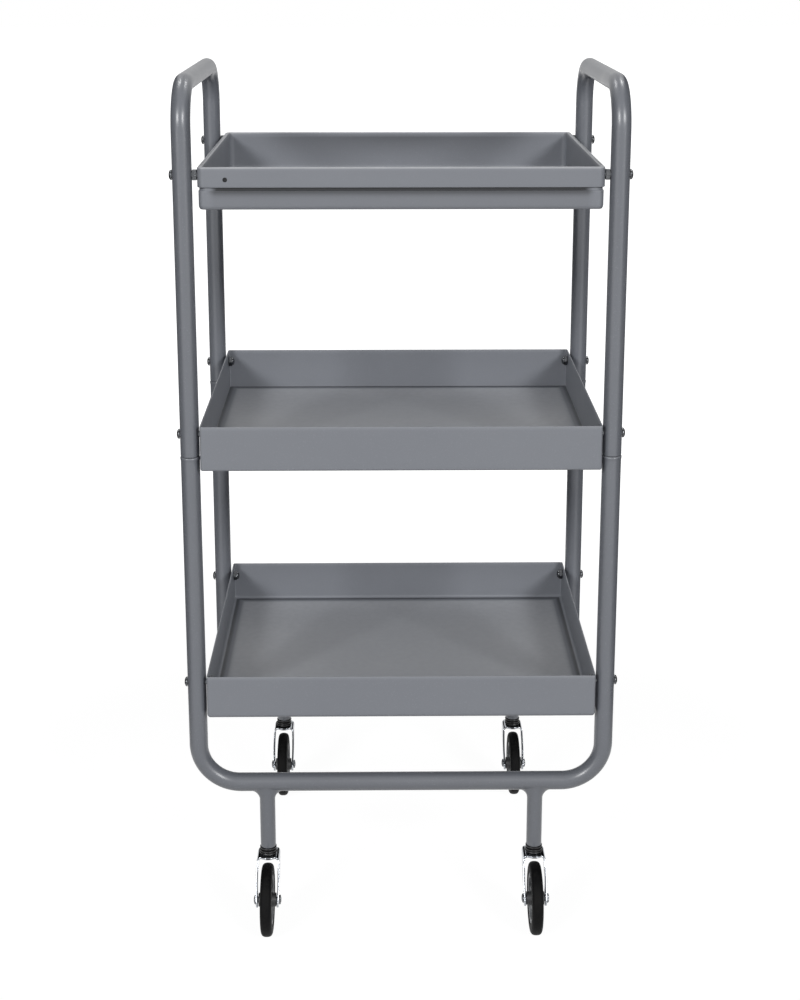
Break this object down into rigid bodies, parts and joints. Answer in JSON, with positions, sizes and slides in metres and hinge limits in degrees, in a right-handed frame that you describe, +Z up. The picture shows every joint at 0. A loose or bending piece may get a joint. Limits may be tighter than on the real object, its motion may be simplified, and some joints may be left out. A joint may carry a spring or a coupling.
{
  "type": "three-tier tray trolley",
  "caption": "Rolling trolley of bent steel tube with open sheet-metal trays on stacked tiers, push handles at the sides and swivel casters.",
  "frame": {"origin": "on the floor, under the middle of the whole trolley's box with the casters trailing to the front", "axes": "+Z up, +Y to the rear, +X to the right of someone who looks at the front"},
  "size_m": [0.4448, 0.3776, 0.8879],
  "materials": {
    "grey_paint": "satin blue-grey powder coat",
    "zinc": "zinc-plated steel",
    "chrome": "bright plated",
    "black_plastic": "moulded, semi-matt",
    "grey_plastic": "moulded, semi-matt",
    "rubber": "matt black rubber"
  },
  "bodies": {
    "trolley": {"front_lower_frame": "grey_paint", "rear_lower_frame": "grey_paint", "left_handle_frame": "grey_paint", "right_handle_frame": "grey_paint", "top_tray": "grey_paint", "middle_tray": "grey_paint", "bottom_tray": "grey_paint", "top_bolt_front_left": "zinc", "top_bolt_front_right": "zinc", "top_bolt_rear_left": "zinc", "top_bolt_rear_right": "zinc", "middle_bolt_front_left": "zinc", "middle_bolt_front_right": "zinc", "middle_bolt_rear_left": "zinc", "middle_bolt_rear_right": "zinc", "bottom_bolt_front_left": "zinc", "bottom_bolt_front_right": "zinc", "bottom_bolt_rear_left": "zinc", "bottom_bolt_rear_right": "zinc", "top_weld_nut_front_left": "zinc", "top_weld_nut_front_right": "zinc", "top_weld_nut_rear_left": "zinc", "top_weld_nut_rear_right": "zinc", "middle_dome_nut_front_left": "zinc", "middle_dome_nut_front_right": "zinc", "middle_dome_nut_rear_left": "zinc", "middle_dome_nut_rear_right": "zinc", "bottom_dome_nut_front_left": "zinc", "bottom_dome_nut_front_right": "zinc", "bottom_dome_nut_rear_left": "zinc", "bottom_dome_nut_rear_right": "zinc", "stem_plug_front_left": "black_plastic", "stem_plug_front_right": "black_plastic", "stem_plug_rear_left": "black_plastic", "stem_plug_rear_right": "black_plastic", "kingpin_front_left": "zinc", "kingpin_front_right": "zinc", "kingpin_rear_left": "zinc", "kingpin_rear_right": "zinc"},
    "caster_front_left": {"fork_front_left": "chrome", "swivel_bearing_front_left": "black_plastic", "axle_front_left": "zinc"},
    "wheel_front_left": {"hub_front_left": "grey_plastic", "tyre_front_left": "rubber"},
    "caster_front_right": {"fork_front_right": "chrome", "swivel_bearing_front_right": "black_plastic", "axle_front_right": "zinc"},
    "wheel_front_right": {"hub_front_right": "grey_plastic", "tyre_front_right": "rubber"},
    "caster_rear_left": {"fork_rear_left": "chrome", "swivel_bearing_rear_left": "black_plastic", "axle_rear_left": "zinc"},
    "wheel_rear_left": {"hub_rear_left": "grey_plastic", "tyre_rear_left": "rubber"},
    "caster_rear_right": {"fork_rear_right": "chrome", "swivel_bearing_rear_right": "black_plastic", "axle_rear_right": "zinc"},
    "wheel_rear_right": {"hub_rear_right": "grey_plastic", "tyre_rear_right": "rubber"}
  },
  "joints": [
    {"name": "swivel_front_left", "type": "hinge", "parent": "trolley", "child": "caster_front_left", "pos_m": [-0.14, -0.12473, 0.0765], "axis": [0, 0, 1], "continuous": true},
    {"name": "spin_front_left", "type": "hinge", "parent": "caster_front_left", "child": "wheel_front_left", "pos_m": [-0.14, -0.15173, 0.03704], "axis": [1, 0, 0], "continuous": true},
    {"name": "swivel_front_right", "type": "hinge", "parent": "trolley", "child": "caster_front_right", "pos_m": [0.14, -0.12473, 0.0765], "axis": [0, 0, 1], "continuous": true},
    {"name": "spin_front_right", "type": "hinge", "parent": "caster_front_right", "child": "wheel_front_right", "pos_m": [0.14, -0.15173, 0.03704], "axis": [1, 0, 0], "continuous": true},
    {"name": "swivel_rear_left", "type": "hinge", "parent": "trolley", "child": "caster_rear_left", "pos_m": [-0.14, 0.17527, 0.0765], "axis": [0, 0, 1], "continuous": true},
    {"name": "spin_rear_left", "type": "hinge", "parent": "caster_rear_left", "child": "wheel_rear_left", "pos_m": [-0.14, 0.14827, 0.03704], "axis": [1, 0, 0], "continuous": true},
    {"name": "swivel_rear_right", "type": "hinge", "parent": "trolley", "child": "caster_rear_right", "pos_m": [0.14, 0.17527, 0.0765], "axis": [0, 0, 1], "continuous": true},
    {"name": "spin_rear_right", "type": "hinge", "parent": "caster_rear_right", "child": "wheel_rear_right", "pos_m": [0.14, 0.14827, 0.03704], "axis": [1, 0, 0], "continuous": true}
  ]
}
